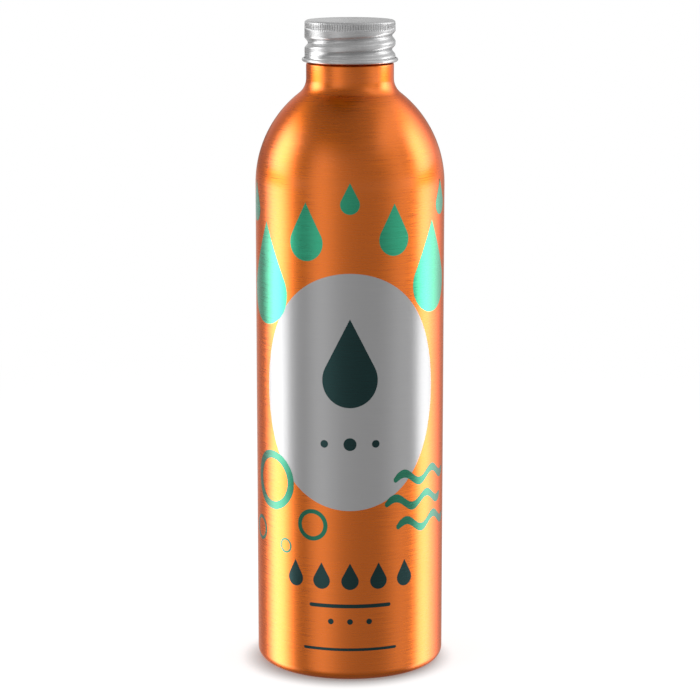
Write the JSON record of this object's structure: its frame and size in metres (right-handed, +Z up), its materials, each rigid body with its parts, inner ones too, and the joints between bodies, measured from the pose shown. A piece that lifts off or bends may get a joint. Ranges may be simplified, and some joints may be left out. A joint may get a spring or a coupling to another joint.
{
  "type": "hand soap refill bottle",
  "caption": "Slim round aluminium refill bottle of liquid hand soap, with a domed shoulder, a short threaded neck and a rolled metal screw cap with a knurled grip band.",
  "frame": {"origin": "centre of the base, on the plane that the bottle stands on", "axes": "+Z up along the bottle's axis, -Y towards the printed front, +X to the right of someone facing the front"},
  "size_m": [0.059, 0.059, 0.2035],
  "materials": {
    "orange_aluminium": "circumferentially brushed aluminium under a clear orange lacquer, with a bare silver panel and flat green print",
    "liquid_soap": "clear pale amber liquid, out of sight inside the bottle",
    "liner_foam": "white closed-cell foam",
    "bare_aluminium": "bare satin aluminium, rolled and knurled"
  },
  "bodies": {
    "bottle": {"bottle": "orange_aluminium", "soap": "liquid_soap"},
    "liner": {"liner": "liner_foam"},
    "cap": {"cap": "bare_aluminium"}
  },
  "joints": [
    {"name": "liner_rise", "type": "slide", "parent": "bottle", "child": "liner", "axis": [0, 0, 1], "range_m": [0, 0.0127]},
    {"name": "cap_turn", "type": "hinge", "parent": "liner", "child": "cap", "pos_m": [0, 0, 0.1972], "axis": [0, 0, 1], "range_deg": [0, 1080]}
  ],
  "couplings": [
    {"joint": "liner_rise", "follows": "cap_turn", "m_per_rad": 0.00067375}
  ]
}
